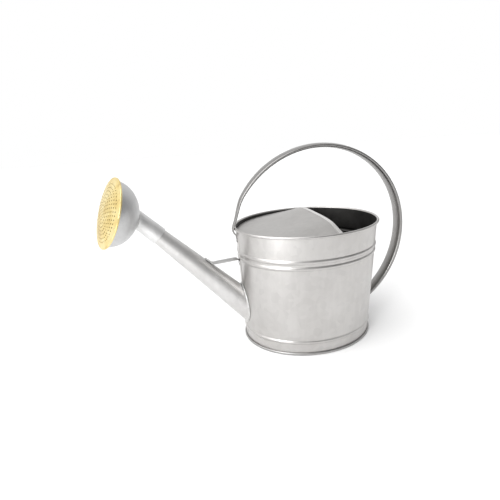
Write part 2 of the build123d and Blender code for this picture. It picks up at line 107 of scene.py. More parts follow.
def ramp(nt, src, stops):
    r = nt.nodes.new("ShaderNodeValToRGB")
    while len(r.color_ramp.elements) > 1:
        r.color_ramp.elements.remove(r.color_ramp.elements[-1])
    r.color_ramp.elements[0].position, r.color_ramp.elements[0].color = stops[0][0], (*stops[0][1], 1)
    for p, c in stops[1:]:
        e = r.color_ramp.elements.new(p)
        e.color = (*c, 1)
    nt.links.new(src, r.inputs["Fac"])
    return r.outputs["Color"]


def mapping(nt, tc, scale=(1, 1, 1)):
    m = nt.nodes.new("ShaderNodeMapping")
    m.inputs["Scale"].default_value = scale
    nt.links.new(tc.outputs["Object"], m.inputs["Vector"])
    return m.outputs["Vector"]


def noise(nt, vec, scale, detail=4.0, rough=0.55):
    n = nt.nodes.new("ShaderNodeTexNoise")
    n.inputs["Scale"].default_value = scale
    n.inputs["Detail"].default_value = detail
    n.inputs["Roughness"].default_value = rough
    nt.links.new(vec, n.inputs["Vector"])
    return n.outputs["Fac"]


def mix_color(nt, kind, fac, a, b):
    m = nt.nodes.new("ShaderNodeMix")
    m.data_type = "RGBA"
    m.blend_type = kind
    if isinstance(fac, float):
        m.inputs["Factor"].default_value = fac
    else:
        nt.links.new(fac, m.inputs["Factor"])
    nt.links.new(a, m.inputs["A"])
    nt.links.new(b, m.inputs["B"])
    return m.outputs["Result"]


def math_node(nt, op, a, b):
    m = nt.nodes.new("ShaderNodeMath")
    m.operation = op
    for i, v in enumerate((a, b)):
        if isinstance(v, (int, float)):
            m.inputs[i].default_value = v
        else:
            nt.links.new(v, m.inputs[i])
    return m.outputs["Value"]


def galvanised(name, tone=0.72, rough=0.33, spangle=0.05, warm=0.0, bump=0.05, metal=1.0, streak=(1, 1, 0.16)):
    """Zinc-coated sheet: faint crystal spangle, cloudy tone, fine drawn streaks."""
    mat = bpy.data.materials.new(name)
    nt, sh, tc = nodes_of(mat)
    v = mapping(nt, tc)
    cells = nt.nodes.new("ShaderNodeTexVoronoi")
    cells.inputs["Scale"].default_value = 95.0
    nt.links.new(v, cells.inputs["Vector"])
    bw = nt.nodes.new("ShaderNodeRGBToBW")
    nt.links.new(cells.outputs["Color"], bw.inputs["Color"])
    lo, hi = tone * (1 - spangle), min(1.0, tone * (1 + spangle))
    w = 1 + warm
    base = ramp(nt, bw.outputs["Val"], [(0.0, (lo * w, lo, lo / w)), (1.0, (hi * w, hi, hi / w))])
    cloud = ramp(nt, noise(nt, mapping(nt, tc), 9.0, 5.0), [(0.32, (0.90, 0.895, 0.89)), (0.68, (1.0, 1.0, 1.0))])
    base = mix_color(nt, "MULTIPLY", 1.0, base, cloud)
    drawn = ramp(nt, noise(nt, mapping(nt, tc, streak), 140.0, 3.0), [(0.3, (0.955, 0.955, 0.955)), (0.7, (1.0, 1.0, 1.0))])
    base = mix_color(nt, "MULTIPLY", 1.0, base, drawn)
    nt.links.new(base, sh.inputs["Base Color"])
    sh.inputs["Metallic"].default_value = metal
    rr = math_node(nt, "MULTIPLY_ADD", noise(nt, mapping(nt, tc), 26.0, 4.0), 0.16)
    rr.node.inputs[2].default_value = rough - 0.08
    rr2 = math_node(nt, "MULTIPLY_ADD", bw.outputs["Val"], 0.05)
    nt.links.new(rr, rr2.node.inputs[2])
    nt.links.new(rr2, sh.inputs["Roughness"])
    b = nt.nodes.new("ShaderNodeBump")
    b.inputs["Strength"].default_value = bump
    b.inputs["Distance"].default_value = 0.0006
    hgt = math_node(nt, "ADD", noise(nt, mapping(nt, tc), 30.0, 5.0), math_node(nt, "MULTIPLY", noise(nt, mapping(nt, tc), 420.0, 2.0), 0.25))
    nt.links.new(hgt, b.inputs["Height"])
    nt.links.new(b.outputs["Normal"], sh.inputs["Normal"])
    return mat


def brass(name):
    """Pressed brass sheet with slight tarnish."""
    mat = bpy.data.materials.new(name)
    nt, sh, tc = nodes_of(mat)
    col = ramp(nt, noise(nt, mapping(nt, tc), 34.0, 6.0, 0.6), [(0.30, (0.58, 0.42, 0.15)), (0.48, (0.78, 0.62, 0.26)), (0.72, (0.88, 0.76, 0.42))])
    fine = ramp(nt, noise(nt, mapping(nt, tc), 600.0, 2.0), [(0.35, (0.93, 0.93, 0.92)), (0.65, (1, 1, 1))])
    nt.links.new(mix_color(nt, "MULTIPLY", 1.0, col, fine), sh.inputs["Base Color"])
    sh.inputs["Metallic"].default_value = 0.85
    rr = math_node(nt, "MULTIPLY_ADD", noise(nt, mapping(nt, tc), 60.0, 4.0), 0.22)
    rr.node.inputs[2].default_value = 0.26
    nt.links.new(rr, sh.inputs["Roughness"])
    b = nt.nodes.new("ShaderNodeBump")
    b.inputs["Strength"].default_value = 0.08
    b.inputs["Distance"].default_value = 0.0004
    nt.links.new(noise(nt, mapping(nt, tc), 90.0, 4.0), b.inputs["Height"])
    nt.links.new(b.outputs["Normal"], sh.inputs["Normal"])
    return mat


def solder(name):
    mat = bpy.data.materials.new(name)
    nt, sh, tc = nodes_of(mat)
    col = ramp(nt, noise(nt, mapping(nt, tc), 180.0, 5.0, 0.6), [(0.3, (0.46, 0.46, 0.45)), (0.5, (0.66, 0.66, 0.65)), (0.75, (0.82, 0.82, 0.82))])
    nt.links.new(col, sh.inputs["Base Color"])
    sh.inputs["Metallic"].default_value = 1.0
    rr = math_node(nt, "MULTIPLY_ADD", noise(nt, mapping(nt, tc), 90.0, 4.0), 0.3)
    rr.node.inputs[2].default_value = 0.28
    nt.links.new(rr, sh.inputs["Roughness"])
    b = nt.nodes.new("ShaderNodeBump")
    b.inputs["Strength"].default_value = 0.25
    b.inputs["Distance"].default_value = 0.0008
    nt.links.new(noise(nt, mapping(nt, tc), 150.0, 4.0), b.inputs["Height"])
    nt.links.new(b.outputs["Normal"], sh.inputs["Normal"])
    return mat


def rubber(name):
    mat = bpy.data.materials.new(name)
    nt, sh, tc = nodes_of(mat)
    col = ramp(nt, noise(nt, mapping(nt, tc), 120.0, 4.0), [(0.3, (0.018, 0.018, 0.018)), (0.7, (0.045, 0.044, 0.042))])
    nt.links.new(col, sh.inputs["Base Color"])
    rr = math_node(nt, "MULTIPLY_ADD", noise(nt, mapping(nt, tc), 80.0, 3.0), 0.2)
    rr.node.inputs[2].default_value = 0.55
    nt.links.new(rr, sh.inputs["Roughness"])
    b = nt.nodes.new("ShaderNodeBump")
    b.inputs["Strength"].default_value = 0.15
    b.inputs["Distance"].default_value = 0.0003
    nt.links.new(noise(nt, mapping(nt, tc), 900.0, 2.0), b.inputs["Height"])
    nt.links.new(b.outputs["Normal"], sh.inputs["Normal"])
    return mat


# One zinc-coated sheet in lit and shaded copies: the hood, spout, brace, hem, handle, rose and base tones are set part
# by part to the brightness each part shows under the lights, so their differences from the wall are painted light and
# shade
M_WALL = galvanised("galvanised_wall", tone=0.555, rough=0.34, warm=0.022)
# near-black inside: painted shade of the can's interior, the same zinc sheet as the outside
M_INSIDE_PAINTED_SHADE = galvanised("galvanised_inside_painted_shade", tone=0.075, rough=0.5, warm=0.03, spangle=0.12)
# hood: the wall's sheet at a darker tone, painted shade
M_HOOD_PAINTED_SHADE = galvanised("galvanised_hood_painted_shade", tone=0.49, rough=0.40, warm=0.022)
M_SPOUT = galvanised("galvanised_spout", tone=0.66, rough=0.46, warm=0.010)
# brace: the wall's sheet at a darker tone, painted shade
M_BRACE_PAINTED_SHADE = galvanised("galvanised_brace_painted_shade", tone=0.46, rough=0.34, warm=0.010)
# hem: the hood's sheet at a much lighter tone, a painted highlight along the folded rear edge
M_HEM_PAINTED_HIGHLIGHT = galvanised("galvanised_hem_painted_highlight", tone=0.74, rough=0.30, warm=0.012)
# handle, front end and foot plate: the wall's sheet at a much darker tone, painted shade standing in for how dark the
# handle falls under the light
M_HANDLE_PAINTED_SHADE = galvanised("galvanised_handle_painted_shade", tone=0.31, rough=0.27, warm=0.02, spangle=0.03, bump=0.006)
M_ROSE = galvanised("galvanised_rose", tone=0.62, rough=0.46, warm=-0.004, spangle=0.03)
M_SOCKET = galvanised("galvanised_socket", tone=0.76, rough=0.5, warm=0.0)
# base and foot seam: the wall's sheet at a darker tone, painted shade at the bottom
M_BASE_PAINTED_SHADE = galvanised("galvanised_base_painted_shade", tone=0.42, rough=0.38, warm=0.01)
M_WIRE = galvanised("galvanised_wire", tone=0.56, rough=0.30)
M_BRASS, M_SOLDER, M_RUBBER = brass("brass_sheet"), solder("solder"), rubber("rubber")


# ------------------------------------------------------------ mesh helpers
def make(name, verts, faces, mats, body, nodes=(), face_mat=None, sharp=32.0, weld=False):
    me = bpy.data.meshes.new(name)
    me.from_pydata([Vector(v) * MM for v in verts], [], faces)
    me.update()
    for m in mats if isinstance(mats, (list, tuple)) else (mats,):
        me.materials.append(m)
    if face_mat:
        for p, i in zip(me.polygons, face_mat):
            p.material_index = i
    for p in me.polygons:
        p.use_smooth = True
    import bmesh
    bm = bmesh.new()
    bm.from_mesh(me)
    if weld:
        bmesh.ops.remove_doubles(bm, verts=bm.verts, dist=1e-6)
    bmesh.ops.recalc_face_normals(bm, faces=bm.faces)
    bm.to_mesh(me)
    bm.free()
    me.set_sharp_from_angle(angle=math.radians(sharp))
    o = bpy.data.objects.new(name, me)
    bpy.context.scene.collection.objects.link(o)
    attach(o, body)
    if nodes:
        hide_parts(*nodes)
    return o


def tube_faces(rows, n, close_rows=False):
    """Quads between rows of n points, each row a closed loop."""
    f = []
    m = rows if close_rows else rows - 1
    for i in range(m):
        a, b = i * n, ((i + 1) % rows) * n
        for j in range(n):
            k = (j + 1) % n
            f.append((a + j, a + k, b + k, b + j))
    return f


def turned(profile, place, n, closed=True):
    """Profile points spun round an axis. place(r, h, c, s) gives the point. Closed profiles make a ring;
    an open one that starts or ends on the axis gets a pole there."""
    verts, faces, rows = [], [], []
    for r, h in profile:
        if r < 1e-6:
            rows.append([len(verts)])
            verts.append(place(0.0, h, 1.0, 0.0))
        else:
            rows.append(list(range(len(verts), len(verts) + n)))
            for j in range(n):
                t = 2 * math.pi * j / n
                verts.append(place(r, h, math.cos(t), math.sin(t)))
    pairs = list(zip(rows, rows[1:])) + ([(rows[-1], rows[0])] if closed else [])
    for a, b in pairs:
        for j in range(n):
            k = (j + 1) % n
            if len(a) == 1 and len(b) == 1:
                break
            if len(a) == 1:
                faces.append((a[0], b[k], b[j]))
            elif len(b) == 1:
                faces.append((a[j], a[k], b[0]))
            else:
                faces.append((a[j], a[k], b[k], b[j]))
    return verts, faces


def oval(r, h, c, s):
    return (-r * c, OVAL * r * s, h)


def on_spout(r, h, c, s):
    return S0 + SD * h + SU * (r * c) + SY * (r * s)


def on_rose(r, h, c, s):
    return RC + RN * h + RX * (r * c) + RY * (r * s)


def arc_pts(cx, cy, r, a0, a1, n):
    return [(cx + r * math.cos(math.radians(a0 + (a1 - a0) * i / n)), cy + r * math.sin(math.radians(a0 + (a1 - a0) * i / n)))
            for i in range(n + 1)]


# ------------------------------------------------------------ body
zs = [1.2, 6.0, 12.0, 18.0]
for c, hw, h in sorted(BEADS):
    zs += [c - hw - 1.2, c - hw - 0.4] + [c - hw + 2 * hw * i / 14 for i in range(15)] + [c + hw + 0.4, c + hw + 1.2]
zs += [29 + 6 + i * (160.0 - 35) / 14 for i in range(15)] + [190, 198, 206, 213, 219, 223, 225]
zs = sorted(set(round(z, 3) for z in zs))

SEAM_T = 0.0            # not used; the lap seam's angle from the front is worked out in build_wall as seam_mid
N_OVAL = 320


def wall_profile():
    """(point on profile, 0 outside / 1 inside, is the seam raised here)."""
    p = [(wall_a(z) + bead(z), z, 0) for z in zs]
    roll_in = arc_pts(ROLL_A, HEIGHT, ROLL_R - SHEET, 180, -120, 20)
    roll_out = arc_pts(ROLL_A, HEIGHT, ROLL_R, -120, 180, 28)
    p += [(a, z, 2) for a, z in roll_in[1:]]
    p += [(a, z, 2) for a, z in roll_out[:-1]]
    p += [(wall_a(z) - SHEET + bead(z), z, 1) for z in reversed(zs)]
    return p


# a lap seam runs down the wall just beside the front, on each sheet's edge
SEAM_Y, SEAM_HALF, SEAM_UP = -5.0, 2.4, 0.85


def build_wall():
    prof = wall_profile()
    # columns: even angles, with extra ones at the seam
    seam_mid = math.asin(SEAM_Y / (OVAL * 130.0))
    half = SEAM_HALF / (OVAL * 130.0)
    ts = [2 * math.pi * j / N_OVAL for j in range(N_OVAL)]
    ts = [t for t in ts if abs(((t - seam_mid + math.pi) % (2 * math.pi)) - math.pi) > half * 1.5]
    ts += [seam_mid % (2 * math.pi) + half * k for k in (-1.45, -1.25, -1.05, -0.9, -0.6, -0.2, 0.2, 0.6, 0.9, 1.05, 1.25, 1.45)]
    ts = sorted(t % (2 * math.pi) for t in ts)
    n = len(ts)
    verts, kinds = [], []
    for a, z, kind in prof:
        for t in ts:
            d = abs(((t - seam_mid + math.pi) % (2 * math.pi)) - math.pi) / half
            up = SEAM_UP * smooth((1.15 - d) / 0.25) if kind == 0 and 6.0 < z < 221.0 else 0.0
            if kind == 0:
                up *= smooth((z - 6.0) / 3.0) * smooth((221.0 - z) / 3.0)
                up *= 1 - 0.6 * min(1.0, bead(z))
            r = a + up
            verts.append(oval(r, z, math.cos(t), math.sin(t)))
        kinds.append(kind)
    faces = tube_faces(len(prof), n, True)
    # faces inside the wall (kind 1 on both rows) take the dark painted-shade interior material
    fm = []
    for i in range(len(prof)):
        k = kinds[i], kinds[(i + 1) % len(prof)]
        fm += [1 if k == (1, 1) else 0] * n
    o = make("can_wall", verts, faces, (M_WALL, M_INSIDE_PAINTED_SHADE), "can", ("body_shell",), fm)
    # opening into the spout
    cv, cf = turned([(0, -40), (SPOUT_R0 - 1.4, -40), (SPOUT_R0 - 1.4, 40), (0, 40)], on_spout, 64, closed=False)
    me = bpy.data.meshes.new("cut")
    me.from_pydata([Vector(v) * MM for v in cv], [], cf)
    cut = bpy.data.objects.new("cut", me)
    bpy.context.scene.collection.objects.link(cut)
    m = o.modifiers.new("hole", "BOOLEAN")
    m.object, m.operation, m.solver = cut, "DIFFERENCE", "EXACT"
    dg = bpy.context.evaluated_depsgraph_get()
    new = bpy.data.meshes.new_from_object(o.evaluated_get(dg))
    o.modifiers.clear()
    old = o.data
    o.data = new
    new.name = "can_wall"
    bpy.data.meshes.remove(old)
    bpy.data.objects.remove(cut)
    return o


build_wall()

# base sheet and folded foot seam
p = [(0, PAN_Z), (40, PAN_Z), (80, PAN_Z), (110, PAN_Z), (118, PAN_Z - 0.05), (121, PAN_Z - 0.35), (123, PAN_Z - 1.2), (124.4, PAN_Z - 2.6), (125.15, 4.6), (125.2, 3.0), (125.2, 1.1),
     (126.3, 1.1), (126.3, 4.2)] + arc_pts(127.7, 3.1, 1.6, 120, 0, 8) + arc_pts(127.9, 1.5, 1.4, 0, -90, 8) + [(126.0, 0.05), (124.9, 0.1), (124.4, 0.6), (124.3, 1.6), (124.2, 3.6),
     (123.4, 5.1), (122.0, 6.4), (120.0, 7.0), (118, 7.15), (110, PAN_Z - 0.8), (80, PAN_Z - 0.8), (40, PAN_Z - 0.8), (0, PAN_Z - 0.8)]
v, f = turned(p, oval, 256, closed=False)
make("foot_and_base", v, f, M_BASE_PAINTED_SHADE, "can", ("base_pan",))

# ------------------------------------------------------------ hood
HOOD_PTS = ((0, HOOD_TOP), (40, 12.6), (69, 10.4), (92, 4.7), (108, 1.0), (116, -0.6))


def hood_h(y):
    """Crown of the hood's rear edge above the rim plane, smooth through the listed points."""
    y = abs(y)
    pts = [(-HOOD_PTS[1][0], HOOD_PTS[1][1])] + list(HOOD_PTS) + [(124.0, -1.6)]
    for i in range(1, len(pts) - 2):
        if pts[i][0] <= y <= pts[i + 1][0]:
            (x0, y0), (x1, y1), (x2, y2), (x3, y3) = pts[i - 1:i + 3]
            t = (y - x1) / (x2 - x1)
            m1 = (y2 - y0) / (x2 - x0) * (x2 - x1)
            m2 = (y3 - y1) / (x3 - x1) * (x2 - x1)
            return ((2 * t ** 3 - 3 * t * t + 1) * y1 + (t ** 3 - 2 * t * t + t) * m1
                    + (-2 * t ** 3 + 3 * t * t) * y2 + (t ** 3 - t * t) * m2)
    return pts[-1][1]


def hood_z(x, y):
    k = max(0.0, (x + 136.0) / (HOOD_X + 136.0))
    return HEIGHT - 8.0 * (1 - k * k) + hood_h(y) * k


def build_hood():
    """Sheet fitted inside the rim: crowned top, skirt down the wall, rear edge folded into a flat hem."""
    A_IN = WALL_A_TOP - SHEET - 0.25
    xs = [-A_IN + (HOOD_X + A_IN) * (1 - math.cos(math.pi * 0.5 * i / 40)) for i in range(1, 34)]
    xs = [x for x in xs if x < HOOD_X - 10] + [HOOD_X - 9.0, HOOD_X - 7.6, HOOD_X - 6.9, HOOD_X - 6.5, HOOD_X - 6.3, HOOD_X - 6.1, HOOD_X - 5.8, HOOD_X - 5, HOOD_X - 3.2, HOOD_X - 1.6,
                                               HOOD_X - 0.8, HOOD_X - 0.35, HOOD_X - 0.1]
    nv = 72
    rows = []
    for x in xs:
        ymax = OVAL * A_IN * math.sqrt(max(0.0, 1 - (x / A_IN) ** 2))
        hem = 1.0 * smooth((x - (HOOD_X - 6.9)) / 0.8)
        edge = max(0.0, (x - (HOOD_X - 0.9)) / 0.9)
        drop = 0.9 * (1 - math.sqrt(max(0.0, 1 - edge * edge))) if edge > 0 else 0.0
        row = []
        for j in range(nv + 1):
            t = -1 + 2 * j / nv
            s = math.sin(t * math.pi / 2)
            y = s * (ymax - 1.2)
            row.append((x, y, hood_z(x, y) + hem - drop))
        # rounded turn into the skirt on both sides
        zl = hood_z(x, ymax)
        left, right = [], []
        ring = [(7.0, 0), (4.6, 0), (2.5, 0.0), (1.2, 0.15), (0.5, 0.5)]
        for dz, iny in ring:
            zz = zl - dz
            f = (wall_a(zz) - SHEET - 0.15) / A_IN
            left.append((x * 1.0, -(ymax * f) + iny, zz))
            right.append((x * 1.0, (ymax * f) - iny, zz))
        rows.append(left + row + right[::-1])
    n = len(rows[0])
    top = [p for r in rows for p in r]
    # thickness: move along the sheet's own normal
    import bmesh
    faces = []
    for i in range(len(rows) - 1):
        for j in range(n - 1):
            faces.append((i * n + j, i * n + j + 1, (i + 1) * n + j + 1, (i + 1) * n + j))
    me = bpy.data.meshes.new("tmp")
    me.from_pydata([Vector(q) for q in top], [], faces)
    me.update()
    nor = [vx.normal.copy() for vx in me.vertices]
    if sum(a.z for a in nor) < 0:
        nor = [-a for a in nor]
    bpy.data.meshes.remove(me)
    low = []
    for i, r in enumerate(rows):
        for j, q in enumerate(r):
            a = nor[i * n + j]
            x = q[0]
            extra = 1.9 * smooth((x - (HOOD_X - 6.9)) / 0.8) if 5 <= j < n - 5 else 0.0
            low.append(tuple(Vector(q) - a * (SHEET + extra)))
    m = len(top)
    verts = top + low
    faces = faces + [tuple(m + i for i in reversed(f)) for f in faces]
    R = len(rows)
    for i in range(R - 1):
        faces.append((i * n, (i + 1) * n, m + (i + 1) * n, m + i * n))
        faces.append((i * n + n - 1, m + i * n + n - 1, m + (i + 1) * n + n - 1, (i + 1) * n + n - 1))
    for j in range(n - 1):
        faces.append((j, m + j, m + j + 1, j + 1))
        a = (R - 1) * n
        faces.append((a + j, a + j + 1, m + a + j + 1, m + a + j))
    # faces of the folded rear edge take the lighter painted-highlight material
    hem_faces = [1 if xs[i] > HOOD_X - 6.2 else 0 for i in range(R - 1) for _ in range(n - 1)]
    make("hood_sheet", verts, faces, [M_HOOD_PAINTED_SHADE, M_HEM_PAINTED_HIGHLIGHT], "can", ("hood",), face_mat=hem_faces, sharp=38)


build_hood()

# ------------------------------------------------------------ spout
def x_wall(y, z):
    a = wall_a(z) + bead(z)
    return -a * math.sqrt(max(0.0, 1 - (y / (a * OVAL)) ** 2))


def spout_start(c, s, r):
    """Distance along the spout's axis at which a line of its wall meets the can's wall."""
    lo, hi = -60.0, 60.0
    for _ in range(40):
        m = (lo + hi) / 2
        p = on_spout(r, m, c, s)
        if p.x < x_wall(p.y, p.z):
            hi = m
        else:
            lo = m
    return hi


def build_spout():
    n, steps = 96, 46
    outer, inner = [], []
    for i in range(steps + 1):
        for j in range(n):
            t = 2 * math.pi * j / n
            c, s = math.cos(t), math.sin(t)
            st = spout_start(c, s, SPOUT_R0) - 0.2
            f = (i / steps) ** 1.25
            h = st + (SPOUT_END - st) * f
            # grooved lap seam along the underside
            d = abs(((t - math.pi * 0.93 + math.pi) % (2 * math.pi)) - math.pi) * spout_r(h)
            up = 0.55 * smooth((2.4 - d) / 0.8)
            flare = 1.3 * math.exp(-((h - st) / 2.2) ** 2)
            outer.append(on_spout(spout_r(h) + up * (1 if h < 200 else 0) + flare, h, c, s))
            inner.append(on_spout(spout_r(h) - SHEET, h, c, s))
    verts = outer + inner
    m = len(outer)
    f = tube_faces(steps + 1, n)
    f += [tuple(m + i for i in reversed(q)) for q in tube_faces(steps + 1, n)]
    for j in range(n):
        k = (j + 1) % n
        f.append((j, k, m + k, m + j))
        a = steps * n
        f.append((a + k, a + j, m + a + j, m + a + k))
    make("spout_cone", verts, f, M_SPOUT, "can", ("spout_tube",), sharp=40)
    # uneven solder fillet round the root
    rows = []
    prof = [(0.0, 0.0), (0.35, 0.0), (0.7, 0.12), (0.9, 0.35), (0.6, 0.62), (0.25, 0.85), (0.0, 1.0)]
    verts = []
    rnd = [random.uniform(0.75, 1.2) for _ in range(24)]
    for j in range(128):
        t = 2 * math.pi * j / 128
        c, s = math.cos(t), math.sin(t)
        q = j / 128 * 24
        a0, b0 = rnd[int(q) % 24], rnd[(int(q) + 1) % 24]
        size = (a0 + (b0 - a0) * smooth(q - int(q)))
        for u, w in prof:
            r = SPOUT_R0 + 0.3 + u * 3.4 * size
            st = spout_start(c, s, r)
            p = on_spout(r - 0.4, st + w * 3.4 * size + 0.05, c, s)
            verts.append(p)
    k = len(prof)
    faces = []
    for j in range(128):
        a, b = j * k, ((j + 1) % 128) * k
        for i in range(k):
            i2 = (i + 1) % k
            faces.append((a + i, a + i2, b + i2, b + i))
    make("spout_root_solder", verts, faces, M_SOLDER, "can", ("spout_solder",), sharp=60)


build_spout()

# ------------------------------------------------------------ brace
def strip(name, path, widths, thick, mats, body, nodes=(), crease=None, n_across=10):
    """Flat strip along path of (point, across, up); crown gives the crease height at each station."""
    verts = []
    for side in (0, 1):
        for i, (p, ac, up) in enumerate(path):
            w = widths[i]
            cr = crease[i] if crease else 0.0
            for j in range(n_across + 1):
                t = -1 + 2 * j / n_across
                lift = cr * (1 - abs(t)) - 0.25 * cr * smooth(1 - abs(t) * 4)
                edge = 0.18 * thick * (1 - smooth((1 - abs(t)) * 8))
                if side == 0:
                    verts.append(Vector(p) + Vector(ac) * (w / 2 * t) + Vector(up) * (lift + thick - edge))
                else:
                    verts.append(Vector(p) + Vector(ac) * (w / 2 * t) + Vector(up) * (lift + edge))
    n = n_across + 1
    m = len(path) * n
    faces = []
    for i in range(len(path) - 1):
        for j in range(n - 1):
            q = (i * n + j, i * n + j + 1, (i + 1) * n + j + 1, (i + 1) * n + j)
            faces.append(q)
            faces.append(tuple(m + k for k in reversed(q)))
        faces.append((i * n, (i + 1) * n, m + (i + 1) * n, m + i * n))
        faces.append((i * n + n - 1, m + i * n + n - 1, m + (i + 1) * n + n - 1, (i + 1) * n + n - 1))
    for j in range(n - 1):
        faces.append((j, m + j, m + j + 1, j + 1))
        a = (len(path) - 1) * n
        faces.append((a + j, a + j + 1, m + a + j + 1, m + a + j))
    return make(name, verts, faces, mats, body, nodes, sharp=30)


def build_brace():
    # stations: spout tab, bend, creased bar, bend, wall tab (all in the plane y = 0)
    pts = []
    for s in (115.0, 113.5, 111, 108, 105.5, 103.5, 102.3):
        w = 12.0 * math.sqrt(max(0.05, 1 - ((s - 106) / 9.6) ** 8)) if s > 106 else 12.0
        pts.append((S0 + SD * s + SU * (spout_r(s) + 0.15), SU, w, 0.0))
    end = pts[-1][0]
    bar = [(-185.0, 165.9, 13.4, 0.5), (-182.0, 164.8, 15.6, 1.7), (-178.0, 164.75, 16.8, 2.7), (-168, 165.36, 17.0, 3.0), (-156, 166.1, 17.0, 3.0), (-146, 166.75, 17.0, 3.0),
           (-140.5, 167.05, 16.6, 2.6), (-136.8, 166.9, 14.6, 1.3)]
    up0 = Vector((0, 0, 1))
    for x, z, w, cr in bar:
        pts.append((Vector((x, 0, z)), up0, w, cr))
    for z, w in ((164.6, 12.6), (162.0, 12.0), (158.5, 12.0), (155.8, 10.5), (154.3, 7.5), (153.6, 4.0)):
        pts.append((Vector((x_wall(0, z) - 0.15, 0, z)), Vector((-1, 0, 0)), w, 0.0))
    # collect each station's path entry, width and crease
    path, widths, crease = [], [], []
    for i, (p, up, w, cr) in enumerate(pts):
        path.append((p, (0, 1, 0), up.normalized()))
        widths.append(w)
        crease.append(cr)
    strip("brace_bar", path, widths, 1.3, M_BRACE_PAINTED_SHADE, "can", ("brace_strip",), crease)


build_brace()


def dome(name, at, axis, r, h, mat, nodes, body="can", tail=3.2, sink=0.5):
    """Rivet: low domed head with a small flat rim, shank through the sheets and an upset tail."""
    axis = Vector(axis).normalized()
    x = axis.cross(Vector((0, 1, 0)))
    if x.length < 0.1:
        x = axis.cross(Vector((0, 0, 1)))
    x.normalize()
    y = axis.cross(x)
    prof = [(0, h)] + [(r * math.sin(a), h * math.cos(a) ** 0.8) for a in (0.2, 0.4, 0.6, 0.8, 1.0, 1.2, 1.38)] + [(r * 1.0, 0.12), (r * 0.97, -sink), (1.5, -sink), (1.5, -tail), (2.2, -tail), (2.3, -tail - 0.5), (1.9, -tail - 0.9), (0, -tail - 1.0)]
    v, f = turned(prof, lambda rr, hh, c, s: Vector(at) + axis * hh + x * (rr * c) + y * (rr * s), 28, closed=False)
    return make(name, v, f, mat, body, nodes, sharp=40)


# ------------------------------------------------------------ rose
prof = [(11.5, -BOWL_DEPTH * math.sqrt(1 - (11.5 / BOWL_R) ** 2) - 0.0)]
bowl_out = []
for i in range(0, 33):
    a = math.radians(90 * i / 32)
    bowl_out.append((BOWL_R * math.sin(a), -1 - (BOWL_DEPTH - 1) * math.cos(a)))
bowl_in = [((BOWL_R - SHEET) * math.sin(math.radians(90 * i / 32)), -1 - (BOWL_DEPTH - 1 - SHEET) * math.cos(math.radians(90 * i / 32))) for i in range(0, 33)]
prof = bowl_out + [(BOWL_R + 0.4, -0.9), (FLANGE_R - 0.2, -0.9), (FLANGE_R, -0.55), (FLANGE_R - 0.2, -0.2), (BOWL_R - SHEET, -0.2)] + bowl_in[::-1]
v, f = turned(prof, on_rose, 128, closed=False)
bowl = make("rose_bowl_sheet", v, f, M_ROSE, "rose", ("rose_bowl",), sharp=40)


def cut_hole(o, maker, name):
    cv, cf = maker
    me = bpy.data.meshes.new("cut")
    me.from_pydata([Vector(q) * MM for q in cv], [], cf)
    cut = bpy.data.objects.new("cut", me)
    bpy.context.scene.collection.objects.link(cut)
    m = o.modifiers.new("hole", "BOOLEAN")
    m.object, m.operation, m.solver = cut, "DIFFERENCE", "EXACT"
    dg = bpy.context.evaluated_depsgraph_get()
    new = bpy.data.meshes.new_from_object(o.evaluated_get(dg))
    o.modifiers.clear()
    old = o.data
    o.data = new
    new.name = name
    bpy.data.meshes.remove(old)
    bpy.data.objects.remove(cut)


cut_hole(bowl, turned([(0, ROSE_S - 30), (11.5, ROSE_S - 30), (11.5, ROSE_S + 22), (0, ROSE_S + 22)], on_spout, 48, closed=False), "rose_bowl_sheet")


def bowl_hit(c, s, r):
    """Distance along the spout's axis at which a line of the socket meets the bowl."""
    lo, hi = 225.0, 300.0
    def inside(p):
        d = p - RC
        h = d.dot(RN) + 1.0
        rr = (d - RN * d.dot(RN)).length
        return (rr / BOWL_R) ** 2 + (h / (BOWL_DEPTH - 1)) ** 2 < 1 and h < 0
    for k in range(300):
        m = lo + 0.25 * k
        if inside(on_spout(r, m, c, s)):
            return m
    return 262.0


